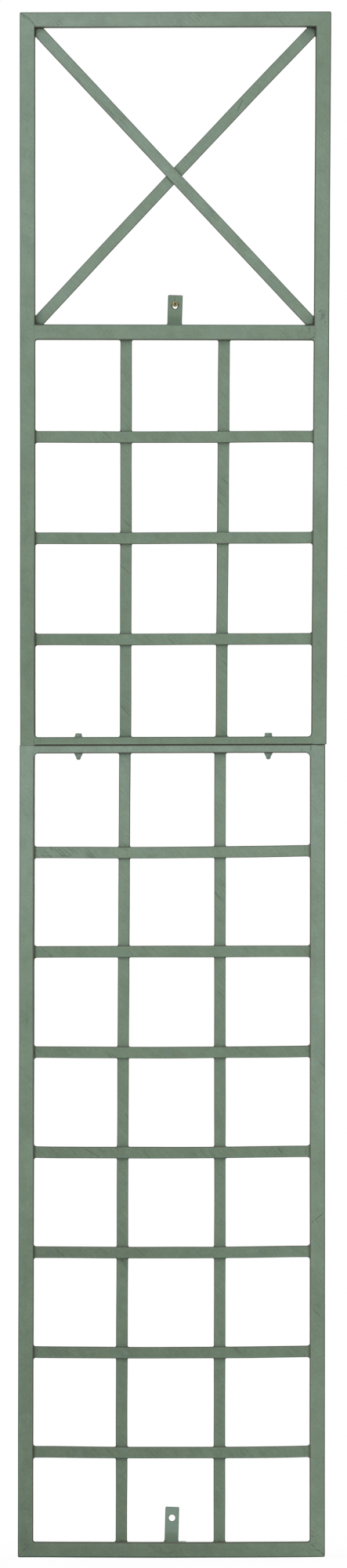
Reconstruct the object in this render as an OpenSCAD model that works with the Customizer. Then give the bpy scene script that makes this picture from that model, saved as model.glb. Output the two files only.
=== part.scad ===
// Espalier frame: two welded lattice panels bolted end to end, with lugs for a wall.
// Seen from the front, +X is to the right, -Y comes towards the viewer and +Z is up.
// The origin is under the middle of the bottom rail, half way through its depth.

/* [Panels] */
// Overall width of the frame
frame_w = 400; // [340:5:520]
// Height of the lower panel
lower_h = 1052; // [700:1:1400]
// Height of the upper panel
upper_h = 948; // [760:1:1200]
// Clear height of the braced field under the top rail
crown_h = 384; // [250:1:450]
// Side of the square tube
tube = 20; // [18:0.5:30]
// Wall of every tube
tube_wall = 1.5; // [1:0.1:2.5]
// Outer corner radius of every tube
tube_r = 2; // [1:0.1:2.5]

/* [Lattice] */
// Width of the upright and level slats
slat_w = 15; // [10:0.5:20]
// Thickness of the slats
slat_t = 4; // [3:0.5:5]
// Height of the lowest level slat's centre line above the foot of its panel
first_row = 137; // [90:1:180]
// Distance between the centre lines of the upper panel's level slats
upper_pitch = 131; // [80:0.5:180]
// Distance between the centre lines of the lower panel's level slats
lower_pitch = 129.5; // [80:0.5:180]
// Least clear height over the highest level slat
row_room = 40; // [20:1:100]
// Width of the two braces
brace_w = 15; // [10:0.5:20]
// Thickness of each brace
brace_t = 4; // [3:0.5:5]
// Leg of the weld beads
weld_leg = 3; // [1.5:0.1:4]

/* [Seam] */
// Height of the rails that face each other at the seam
seam_h = 10; // [8:0.5:14]
// Gap between those two rails
seam_gap = 1.2; // [0.4:0.1:3]
// Distance from the inside of a stile to its bolt
bolt_inset = 57; // [20:1:90]
// Diameter of the bolts
bolt_d = 6; // [5:0.5:8]
// Radial clearance of the bolts in the seam rails
hole_clear = 0.3; // [0.1:0.05:0.6]
// Radial clearance of the nuts on the bolts
thread_clear = 0.05; // [0.02:0.01:0.1]
// Width across the flats of the bolt heads and nuts
hex_af = 10; // [9:0.5:14]
// Height of the bolt heads
head_h = 4; // [3:0.1:6]
// Height of the nuts
nut_h = 5; // [4:0.1:7]
// Length of bolt that shows under its nut
bolt_tip = 3.4; // [1.5:0.1:8]
// Chamfer on the bolt's end
bolt_chamfer = 0.8; // [0.3:0.1:1.2]

/* [Wall lugs] */
// Width of the lugs
lug_w = 19; // [14:0.5:26]
// Thickness of the lugs
lug_t = 3; // [2:0.5:5]
// Height of the upper lug above its rail
upper_lug_rise = 38.5; // [30:0.5:60]
// Height of the lower lug above its rail
lower_lug_rise = 44; // [30:0.5:60]
// Distance from a lug's lower end to the underside of its rail
lug_foot = 6; // [5:0.5:9]
// Corner radius at the top of the lugs
lug_r = 1.5; // [0.5:0.1:4]
// Diameter of the hole in each lug
lug_hole = 8.5; // [6:0.1:11]
// Distance from the top of a lug to the centre of its hole
lug_hole_drop = 13.5; // [9:0.1:20]
// Lean of the lugs towards the right, in degrees
lug_lean = 1.5; // [-3:0.1:3]

/* [Wall screw] */
// Diameter of the screw's thread
screw_d = 4; // [3:0.1:5]
// Diameter of the plain neck under the screw's head
neck_d = 4.4; // [2.6:0.1:4.6]
// Length of the neck that stands out behind the lug
neck_past = 0.5; // [0.2:0.1:3]
// Diameter of the screw's head
screw_head_d = 7.2; // [6:0.1:10]
// Height of the screw's head
screw_head_h = 2.4; // [1.8:0.1:4]
// Radius of the rounded edge of the screw's head
screw_head_r = 1.6; // [0.5:0.1:1.7]
// Length of the screw under its head
screw_l = 40; // [25:1:70]
// Length of the screw's point
screw_point = 5; // [3:0.5:8]
// Span of the cross recess
recess_span = 4; // [2.5:0.1:5]
// Width of the recess's arms
recess_w = 0.9; // [0.6:0.1:1.4]
// Depth of the recess
recess_depth = 1.2; // [0.6:0.1:1.5]
// Gap between the neck and the top of the lug's hole
hang_clear = 0.05; // [0.02:0.01:0.2]

/* [Hidden] */
$fn = 48;
paint = [0.47, 0.54, 0.47];
slat_paint = [0.45, 0.52, 0.45];
weld_paint = [0.30, 0.33, 0.28];
brass = [0.72, 0.62, 0.38];
// Steps in each rounded corner of a tube or lug
corner_steps = 4;
// Length by which a cutting body runs past what it cuts
over = 1;
// Least inner corner radius of a tube
least_r = 0.2;
clear_w = frame_w - 2 * tube;
stile_x = (frame_w - tube) / 2;
slat_x = (clear_w - 2 * slat_w) / 6 + slat_w / 2;
bolt_x = clear_w / 2 - bolt_inset;
// Level slats lie in front of the upright ones, which are centred in the tube
row_y = -1.5 * slat_t;
// Far side of a seam rail, measured from the seam
seam_rail_end = seam_gap / 2 + seam_h;
// Underside of the mid rail above the seam
mid_z = upper_h - 2 * tube - crown_h;
upper_rows = floor((mid_z - row_room - slat_w / 2 - first_row) / upper_pitch) + 1;
lower_rows = floor((lower_h - seam_rail_end - row_room - slat_w / 2 - first_row) / lower_pitch) + 1;
// Angle of the braces, and the distance from a corner of the field to a brace's square end
brace_angle = atan2(crown_h, clear_w);
brace_end = brace_w / 2 * max(tan(brace_angle), 1 / tan(brace_angle));
brace_l = norm([clear_w, crown_h]) - 2 * brace_end;
brace_z = lower_h + mid_z + tube + crown_h / 2;
slat_leg = min(weld_leg, slat_t);
brace_leg = min(weld_leg, brace_t);
lug_leg = min(weld_leg, lug_t);
lug_lap = tube - lug_foot;
upper_lug_z = lower_h + mid_z + tube;
lower_lug_z = tube;
// Height of the upper hole's centre above its rail, along the lug
upper_hole_rise = upper_lug_rise - lug_hole_drop;
hang = (lug_hole - neck_d) / 2 - hang_clear;

function upper_row_z(i) = lower_h + first_row + (i - 1) * upper_pitch;
function lower_row_z(i) = first_row + (i - 1) * lower_pitch;
function row_names(panel, count) = [for (i = [1:count]) str(panel, "_row_", i)];

// Shared shapes

// Points of a quarter round about a centre, from a starting angle
function arc_points(centre, r, start) = [
    for (i = [0:corner_steps])
        let (a = start + 90 * i / corner_steps)
        centre + r * [cos(a), sin(a)]
];

function round_rect(w, d, r) = concat(
    arc_points([w / 2 - r, d / 2 - r], r, 0),
    arc_points([r - w / 2, d / 2 - r], r, 90),
    arc_points([r - w / 2, r - d / 2], r, 180),
    arc_points([w / 2 - r, r - d / 2], r, 270)
);

// Hollow bar standing on z = 0
module tube_bar(w, d, l) {
    linear_extrude(l)
        difference() {
            polygon(round_rect(w, d, tube_r));
            polygon(round_rect(w - 2 * tube_wall, d - 2 * tube_wall, max(tube_r - tube_wall, least_r)));
        }
}

// Hollow bar along X, centred on x = 0, with its underside on z = 0
module tube_rail(h, l) {
    translate([-l / 2, 0, h / 2])
        rotate([0, 90, 0])
            tube_bar(h, tube, l);
}

// Outline drawn in X and Z, with its front face at y and a thickness t
module front_plate(points, y, t) {
    translate([0, y + t, 0])
        rotate([90, 0, 0])
            linear_extrude(t)
                polygon(points);
}

// What a mitre takes off the foot of a left stile that stands on z = 0
module stile_mitre() {
    front_plate(
        [[-tube / 2 - over, -over], [tube / 2 + over, -over], [tube / 2 + over, tube + over]],
        -tube / 2 - over,
        tube + 2 * over
    );
}

// Left stile that stands on z = 0, mitred at its foot
module mitred_stile(l) {
    difference() {
        tube_bar(tube, tube, l);
        stile_mitre();
    }
}

// Rail over the full width with its long side down, mitred at both ends
module mitred_rail() {
    difference() {
        tube_rail(tube, frame_w);
        for (side = [0, 1])
            mirror([side, 0, 0])
                front_plate(
                    [
                        [-frame_w / 2 - over, -over],
                        [-frame_w / 2 + tube + over, tube + over],
                        [-frame_w / 2 - over, tube + over]
                    ],
                    -tube / 2 - over,
                    tube + 2 * over
                );
    }
}

// Rail at the seam, drilled for both bolts, with its underside on z = 0
module seam_rail() {
    difference() {
        tube_rail(seam_h, clear_w);
        for (side = [-1, 1])
            translate([side * bolt_x, 0, -over])
                cylinder(d = bolt_d + 2 * hole_clear, h = seam_h + 2 * over);
    }
}

// Upright slat from z0 to z1
module upright_slat(side, z0, z1) {
    translate([side * slat_x - slat_w / 2, -slat_t / 2, z0])
        cube([slat_w, slat_t, z1 - z0]);
}

module level_slat(z) {
    translate([-clear_w / 2, row_y, z - slat_w / 2])
        cube([clear_w, slat_t, slat_w]);
}

// Brace through the middle of the field, square at both ends
module brace(angle, y) {
    translate([0, 0, brace_z])
        rotate([0, angle, 0])
            translate([-brace_l / 2, y, -brace_w / 2])
                cube([brace_l, brace_t, brace_w]);
}

// Lug whose rail ends at z = 0, lapped on the back of the rail
module lug(rise) {
    rotate([0, lug_lean, 0])
        difference() {
            front_plate(
                concat(
                    [[-lug_w / 2, -lug_lap], [lug_w / 2, -lug_lap]],
                    arc_points([lug_w / 2 - lug_r, rise - lug_r], lug_r, 0),
                    arc_points([lug_r - lug_w / 2, rise - lug_r], lug_r, 90)
                ),
                tube / 2,
                lug_t
            );
            translate([0, tube / 2 + lug_t + over, rise - lug_hole_drop])
                rotate([90, 0, 0])
                    cylinder(d = lug_hole, h = lug_t + 2 * over);
        }
}

module hexagon(h) {
    cylinder(d = hex_af / cos(30), h = h, $fn = 6);
}

// Weld beads

// Bead in the corner at the origin, towards side_x and side_z, through a bar's thickness
module corner_bead(side_x, side_z, y) {
    front_plate([[0, 0], [side_x * weld_leg, 0], [0, side_z * weld_leg]], y, slat_t);
}

// Bead along X at the foot of an edge that stands out to -Y, towards side_z
module lap_bead(l, leg, side_z) {
    translate([-l / 2, 0, 0])
        rotate([90, 0, 90])
            linear_extrude(l)
                polygon([[0, 0], [-leg, 0], [0, side_z * leg]]);
}

// Beads at both ends of a level slat and where it crosses the upright ones
module level_slat_beads(z) {
    for (side = [-1, 1], edge = [-1, 1]) {
        translate([side * clear_w / 2, 0, z + edge * slat_w / 2])
            corner_bead(-side, edge, row_y);
        translate([side * slat_x, -slat_t / 2, z + edge * slat_w / 2])
            lap_bead(slat_w, slat_leg, edge);
    }
}

// Beads at both ends of the upright slats
module upright_slat_beads(z0, z1) {
    for (side = [-1, 1], edge = [-1, 1]) {
        translate([side * slat_x + edge * slat_w / 2, 0, z0])
            corner_bead(edge, 1, -slat_t / 2);
        translate([side * slat_x + edge * slat_w / 2, 0, z1])
            corner_bead(edge, -1, -slat_t / 2);
    }
}

// Fill between the square end of a brace and the corner of its field
module brace_fill(side_x, side_z, y) {
    translate([side_x * clear_w / 2, 0, brace_z + side_z * crown_h / 2])
        front_plate(
            [
                [0, 0],
                [-side_x * brace_end / cos(brace_angle), 0],
                [0, -side_z * brace_end / sin(brace_angle)]
            ],
            y,
            brace_t
        );
}

// Beads along the front brace where it lies on the rear one
module brace_cross_beads() {
    for (edge = [-1, 1])
        translate([0, 0, brace_z])
            rotate([0, brace_angle, 0])
                translate([0, 0, edge * brace_w / 2])
                    lap_bead(brace_w - 2 * brace_leg, brace_leg, edge);
}

// Beads down both sides of a lug and under its lower end, on the back of its rail
module lug_beads() {
    rotate([0, lug_lean, 0])
        translate([0, tube / 2, 0]) {
            for (side = [-1, 1])
                translate([side * lug_w / 2, 0, -lug_lap])
                    linear_extrude(lug_lap - tube_r)
                        polygon([[0, 0], [side * lug_leg, 0], [0, lug_leg]]);
            translate([0, 0, -lug_lap])
                rotate([0, 0, 180])
                    lap_bead(lug_w, lug_leg, -1);
        }
}

// Upper panel

module upper_left_stile() {
    color(paint)
        translate([-stile_x, 0, lower_h + upper_h])
            mirror([0, 0, 1])
                mitred_stile(upper_h);
}

module upper_right_stile() {
    mirror([1, 0, 0])
        upper_left_stile();
}

module upper_top_rail() {
    color(paint)
        translate([0, 0, lower_h + upper_h])
            mirror([0, 0, 1])
                mitred_rail();
}

module upper_mid_rail() {
    color(paint)
        translate([0, 0, lower_h + mid_z])
            tube_rail(tube, clear_w);
}

module upper_seam_rail() {
    color(paint)
        translate([0, 0, lower_h + seam_gap / 2])
            seam_rail();
}

module brace_front() {
    color(slat_paint)
        brace(brace_angle, -brace_t);
}

module brace_rear() {
    color(slat_paint)
        brace(-brace_angle, 0);
}

module upper_slat(side) {
    color(slat_paint)
        upright_slat(side, lower_h + seam_rail_end, lower_h + mid_z);
}

module upper_row(i) {
    color(slat_paint)
        level_slat(upper_row_z(i));
}

module upper_lug() {
    color(paint)
        translate([0, 0, upper_lug_z])
            lug(upper_lug_rise);
}

module upper_welds() {
    color(weld_paint) {
        for (i = [1:upper_rows])
            level_slat_beads(upper_row_z(i));
        upright_slat_beads(lower_h + seam_rail_end, lower_h + mid_z);
        for (side = [-1, 1]) {
            brace_fill(side, -side, -brace_t);
            brace_fill(side, side, 0);
        }
        brace_cross_beads();
        translate([0, 0, upper_lug_z])
            lug_beads();
    }
}

// Lower panel

module lower_left_stile() {
    color(paint)
        translate([-stile_x, 0, 0])
            mitred_stile(lower_h);
}

module lower_right_stile() {
    mirror([1, 0, 0])
        lower_left_stile();
}

module lower_seam_rail() {
    color(paint)
        translate([0, 0, lower_h - seam_rail_end])
            seam_rail();
}

module lower_bottom_rail() {
    color(paint)
        mitred_rail();
}

module lower_slat(side) {
    color(slat_paint)
        upright_slat(side, tube, lower_h - seam_rail_end);
}

module lower_row(i) {
    color(slat_paint)
        level_slat(lower_row_z(i));
}

module lower_lug() {
    color(paint)
        translate([0, 0, lower_lug_z])
            lug(lower_lug_rise);
}

module lower_welds() {
    color(weld_paint) {
        for (i = [1:lower_rows])
            level_slat_beads(lower_row_z(i));
        upright_slat_beads(tube, lower_h - seam_rail_end);
        translate([0, 0, lower_lug_z])
            lug_beads();
    }
}

// Fasteners

// Bolt with its head on the upper seam rail and its end under the nut
module bolt(side) {
    grip = 2 * seam_rail_end + nut_h + bolt_tip;
    color(paint)
        translate([side * bolt_x, 0, lower_h + seam_rail_end]) {
            hexagon(head_h);
            translate([0, 0, bolt_chamfer - grip])
                cylinder(d = bolt_d, h = grip - bolt_chamfer);
            translate([0, 0, -grip])
                cylinder(d1 = bolt_d - 2 * bolt_chamfer, d2 = bolt_d, h = bolt_chamfer);
        }
}

// Nut drawn up against the lower seam rail
module nut(side) {
    color(paint)
        translate([side * bolt_x, 0, lower_h - seam_rail_end - nut_h])
            difference() {
                hexagon(nut_h);
                translate([0, 0, -over])
                    cylinder(d = bolt_d + 2 * thread_clear, h = nut_h + 2 * over);
            }
}

// Screw from the front through the upper lug, which hangs on its neck
module wall_screw() {
    neck_l = lug_t + neck_past;
    profile = concat(
        [[0, -screw_head_h]],
        [for (i = [corner_steps:-1:0])
            let (a = 90 * i / corner_steps)
            [
                screw_head_d / 2 - screw_head_r + screw_head_r * cos(a),
                screw_head_r - screw_head_h - screw_head_r * sin(a)
            ]],
        [
            [screw_head_d / 2, 0],
            [neck_d / 2, 0],
            [neck_d / 2, neck_l],
            [screw_d / 2, neck_l],
            [screw_d / 2, screw_l - screw_point],
            [0, screw_l]
        ]
    );
    color(brass)
        translate([
            upper_hole_rise * sin(lug_lean),
            tube / 2,
            upper_lug_z + upper_hole_rise * cos(lug_lean) + hang
        ])
            rotate([-90, 0, 0])
                difference() {
                    rotate_extrude()
                        polygon(profile);
                    for (turn = [0, 90])
                        rotate([0, 0, turn])
                            translate([-recess_span / 2, -recess_w / 2, -screw_head_h - over])
                                cube([recess_span, recess_w, recess_depth + over]);
                }
}

upper_left_stile();
upper_right_stile();
upper_top_rail();
upper_mid_rail();
upper_seam_rail();
brace_front();
brace_rear();
upper_slat(-1);  // upper_left_slat
upper_slat(1);  // upper_right_slat
for (i = [1:upper_rows])
    upper_row(i);
upper_lug();
upper_welds();
lower_left_stile();
lower_right_stile();
lower_seam_rail();
lower_bottom_rail();
lower_slat(-1);  // lower_left_slat
lower_slat(1);  // lower_right_slat
for (i = [1:lower_rows])
    lower_row(i);
lower_lug();
lower_welds();
bolt(-1);  // bolt_left
bolt(1);  // bolt_right
nut(-1);  // nut_left
nut(1);  // nut_right
wall_screw();
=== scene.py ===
import math

import bmesh
import bpy
from mathutils import Matrix, Vector, noise


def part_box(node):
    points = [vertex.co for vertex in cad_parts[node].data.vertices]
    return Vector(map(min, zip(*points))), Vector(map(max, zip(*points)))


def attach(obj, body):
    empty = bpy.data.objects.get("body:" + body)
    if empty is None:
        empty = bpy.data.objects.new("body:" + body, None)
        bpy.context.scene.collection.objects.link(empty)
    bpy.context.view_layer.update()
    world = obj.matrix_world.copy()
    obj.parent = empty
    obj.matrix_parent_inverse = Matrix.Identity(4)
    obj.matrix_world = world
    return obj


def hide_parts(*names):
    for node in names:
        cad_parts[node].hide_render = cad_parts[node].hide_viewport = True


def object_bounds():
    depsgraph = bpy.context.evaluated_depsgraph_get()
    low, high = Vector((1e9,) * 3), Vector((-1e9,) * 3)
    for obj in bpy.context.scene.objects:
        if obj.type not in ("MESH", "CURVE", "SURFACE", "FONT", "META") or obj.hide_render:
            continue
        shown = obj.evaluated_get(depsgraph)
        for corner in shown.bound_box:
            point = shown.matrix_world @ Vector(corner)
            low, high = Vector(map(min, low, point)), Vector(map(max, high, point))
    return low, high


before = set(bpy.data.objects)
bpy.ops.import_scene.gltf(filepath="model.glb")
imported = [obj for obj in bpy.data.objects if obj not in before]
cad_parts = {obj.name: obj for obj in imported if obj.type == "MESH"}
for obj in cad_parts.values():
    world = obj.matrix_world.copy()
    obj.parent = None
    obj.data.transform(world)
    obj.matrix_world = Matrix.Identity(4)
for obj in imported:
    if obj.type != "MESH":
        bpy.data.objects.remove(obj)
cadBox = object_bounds()
scene = bpy.context.scene
scene.view_settings.view_transform = "Standard"
toRight = Vector((1, 0, 0))
toWall = Vector((0, 1, 0))
up = Vector((0, 0, 1))
mm = 0.001
tiny = 1e-6
halfRoot = math.sqrt(0.5)
sharpAngle = math.radians(42)


# colour written as 0-255 screen values
def shade(red, green, blue):
    def linear(value):
        value /= 255
        return value / 12.92 if value <= 0.04045 else ((value + 0.055) / 1.055) ** 2.4
    return linear(red), linear(green), linear(blue), 1.0


# a shader socket that takes part in Python expressions
class Wire:
    def __init__(self, tree, socket=None):
        self.tree = tree
        self.socket = socket

    def node(self, kind, settings=None, links=None, out=0):
        made = self.tree.nodes.new(kind)
        for key, value in (settings or {}).items():
            if key == "stops":
                ramp = made.color_ramp.elements
                while len(ramp) < len(value):
                    ramp.new(1.0)
                for stop, (position, colour) in zip(ramp, value):
                    stop.position = position
                    stop.color = colour
            else:
                setattr(made, key, value)
        for key, value in (links or {}).items():
            if isinstance(value, Wire):
                self.tree.links.new(value.socket, made.inputs[key])
            else:
                made.inputs[key].default_value = value
        return Wire(self.tree, made.outputs[out])

    def math(self, operation, first, second=0.0):
        return self.node("ShaderNodeMath", {"operation": operation}, {0: first, 1: second})

    def __add__(self, other):
        return self.math("ADD", self, other)

    def __sub__(self, other):
        return self.math("SUBTRACT", self, other)

    def __rsub__(self, other):
        return self.math("SUBTRACT", other, self)

    def __mul__(self, other):
        return self.math("MULTIPLY", self, other)

    def __truediv__(self, other):
        return self.math("DIVIDE", self, other)

    __radd__ = __add__
    __rmul__ = __mul__

    def __abs__(self):
        return self.math("ABSOLUTE", self)

    def over(self, limit):
        return self.math("GREATER_THAN", self, limit)

    def larger(self, other):
        return self.math("MAXIMUM", self, other)

    def smaller(self, other):
        return self.math("MINIMUM", self, other)

    def root(self):
        return self.math("SQRT", self)

    # noise round zero, instead of round a half
    def swing(self, size):
        return (self - 0.5) * size

    def clamp(self):
        return self.node("ShaderNodeClamp", None, {0: self})

    # 0 at start and 1 at end, with soft shoulders
    def fade(self, start, end):
        return self.node("ShaderNodeMapRange", {"interpolation_type": "SMOOTHSTEP"},
                         {"Value": self, "From Min": start, "From Max": end})

    def split(self):
        parts = self.node("ShaderNodeSeparateXYZ", None, {0: self}).socket.node
        return [Wire(self.tree, part) for part in parts.outputs]

    def vector(self, x, y, z):
        return self.node("ShaderNodeCombineXYZ", None, {0: x, 1: y, 2: z})

    def attribute(self, name, out):
        return self.node("ShaderNodeAttribute", {"attribute_name": name}, out=out)

    def grain(self, scale, detail=2.0, roughness=0.5):
        return self.node("ShaderNodeTexNoise", None,
                         {"Vector": self, "Scale": scale, "Detail": detail, "Roughness": roughness})

    def mix(self, factor, first, second, blend="MIX"):
        return self.node("ShaderNodeMix", {"data_type": "RGBA", "blend_type": blend},
                         {0: factor, 6: first, 7: second}, 2)

    def feed(self, shader, name):
        self.tree.links.new(self.socket, shader.inputs[name])

    def place(self):
        return self.node("ShaderNodeTexCoord", out="Object")

    def bump(self, shader, strength, distance):
        bumped = self.node("ShaderNodeBump", None, {"Strength": strength, "Distance": distance, "Height": self})
        bumped.feed(shader, "Normal")


def newMaterial(name, **fixed):
    material = bpy.data.materials.new(name)
    material.use_nodes = True
    tree = material.node_tree
    shader = tree.nodes["Principled BSDF"]
    for key, value in fixed.items():
        shader.inputs[key.replace("_", " ")].default_value = value
    return material, Wire(tree), shader


# sizes that several pieces share, from the frame
stileLow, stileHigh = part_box("upper_left_stile")
rowLow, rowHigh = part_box("lower_row_1")
seamZ = stileLow.z
topZ = stileHigh.z
tubeSide = stileHigh.x - stileLow.x
tubeFront = stileLow.y
tubeBack = stileHigh.y
halfClear = -stileHigh.x
slatWidth = rowHigh.z - rowLow.z
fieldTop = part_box("upper_top_rail")[0].z
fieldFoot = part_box("upper_mid_rail")[1].z
print("frame loaded, seam at", round(seamZ, 4), "m")


# Sage paint

paintTone = {
    "darkest": shade(98, 114, 96),
    "green": shade(111, 130, 110),
    "sage": shade(121, 140, 121),
    "pale": shade(133, 152, 137),
    "blue": shade(118, 142, 134),
    "olive": shade(124, 135, 110),
    "glazeAndShade": shade(58, 57, 48),
    "greenRim": shade(72, 91, 78),
    "brownRim": shade(78, 68, 60),
    "teal": shade(44, 74, 64),
    # each panel's tone at its foot and head is painted light: paler towards the head
    "lowerFoot": 0.2, "lowerHead": 0.88, "lowerCastFoot": 0.2, "lowerCastHead": -0.05,
    "upperFoot": 0.5, "upperHead": 0.84, "upperCastFoot": 0.1, "upperCastHead": -0.1,
    "drift": 0.4, "blueShare": 0.28, "oliveShare": 0.35,
}
# noise in the paint: scale, detail and roughness
paintGrain = {
    "drift": (7, 3, 0.55), "hue": (95, 3, 0.65), "mottle": (420, 3, 0.65), "cloud": (30, 4, 0.7),
    "patch": (240, 3, 0.7), "wobble": (160,), "breakUp": (330, 2), "groups": (17, 2), "specks": (560, 1),
    "speckGroups": (21, 2), "tick": (70,), "tickRows": (4, 1),
    "lumpMottle": (500, 3, 0.65), "lumpPatch": (260, 3, 0.7),
    "brush": (1, 3, 0.6), "hatch": (1, 2, 0.5), "scratch": (1, 2, 0.45), "broken": (1, 3, 0.7),
}
# noise with a direction has its own scale on each axis
paintStretch = {"brush": (14, 420, 420), "hatch": (620, 45, 200), "scratch": (360, 24, 90), "broken": (55, 20, 20)}
# value at which a noise begins to show, and at which it is full
noiseReach = {
    "blue": (0.5, 0.75), "olive": (0.5, 0.25), "scratch": (0.56, 0.7), "specks": (0.7, 0.78),
    "speckGroups": (0.48, 0.68), "breakUp": (0.28, 0.6), "tickRows": (0.44, 0.52), "tick": (0.42, 0.6),
}


# paint before wear, with painted light: each panel is painted paler and bluer towards its head, as if lit from
# above, and drifts from side to side
def sageGroundAndLight(wire, place, lift, patches=()):
    x, y, z = place.split()
    upper = z.over(seamZ)
    level = (z - upper * seamZ) / (seamZ + upper * (topZ - 2 * seamZ))

    def perPanel(key):
        return paintTone["lower" + key] + upper * (paintTone["upper" + key] - paintTone["lower" + key])

    def overLevel(foot, head):
        return foot + (head - foot) * level
    cast = x / halfClear * overLevel(perPanel("CastFoot"), perPanel("CastHead"))
    drift = place.grain(*paintGrain["drift"]).swing(paintTone["drift"])
    tone = overLevel(perPanel("Foot"), perPanel("Head")) + cast + drift + lift
    for atX, atZ, reachX, reachZ, change in patches:
        offX, offZ = (x - atX * mm) / (reachX * mm), (z - atZ * mm) / (reachZ * mm)
        tone = tone + change * (offX * offX + offZ * offZ).fade(1.3, 0.2)
    colour = tone.node("ShaderNodeValToRGB", {"stops": (
        (0.0, paintTone["darkest"]), (0.38, paintTone["green"]),
        (0.65, paintTone["sage"]), (0.95, paintTone["pale"]))}, {0: tone})
    hue = wire.vector(x + 3, y, z).grain(*paintGrain["hue"])
    colour = wire.mix(hue.fade(*noiseReach["blue"]) * paintTone["blueShare"], colour, paintTone["blue"])
    return wire.mix(hue.fade(*noiseReach["olive"]) * paintTone["oliveShare"], colour, paintTone["olive"])


def darken(wire, colour, amount):
    return wire.mix(1.0, colour, wire.vector(amount, amount, amount), "MULTIPLY")


# dark glaze, also laid on as painted shade
def glazeAndShade(wire, colour, amount):
    return wire.mix(amount, colour, paintTone["glazeAndShade"])


# a straight scratch between two places on the front, in metres
def stroke(x, z, startX, startZ, endX, endZ, width):
    length = math.hypot(endX - startX, endZ - startZ)
    runX, runZ = (endX - startX) / length, (endZ - startZ) / length
    run = (x - startX) * runX + (z - startZ) * runZ
    off = abs((x - startX) * runZ - (z - startZ) * runX)
    past = abs(run - length / 2) - length / 2
    return off.fade(width, width * 0.25) * past.fade(width * 2, 0)


# where each glaze, painted shade and painted highlight starts, and where it is full; hole is the width of the ring
# round a lug's hole
glazeAndLightReach = {
    "besideTube": (2.0 * mm, 0.6 * mm), "nearCorner": (13 * mm, 9 * mm), "onTube": (-5 * mm, -3.5 * mm),
    "onEdge": (2.2 * mm, 0.9 * mm), "foot": (2.4 * mm, 1.0 * mm), "seam": (1.2 * mm, 0.4 * mm),
    "band": (15 * mm, 11 * mm), "tick": (1.0 * mm, 0.2 * mm), "hole": 1.3 * mm,
}
# how much of each colour lies there
glazeAndLightShare = {"pale": 0.1, "besideTube": 0.9, "foot": 0.75, "seam": 0.9, "band": 0.2, "tick": 0.35, "lugFootShade": 0.75,
              "hole": 0.7}
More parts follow.
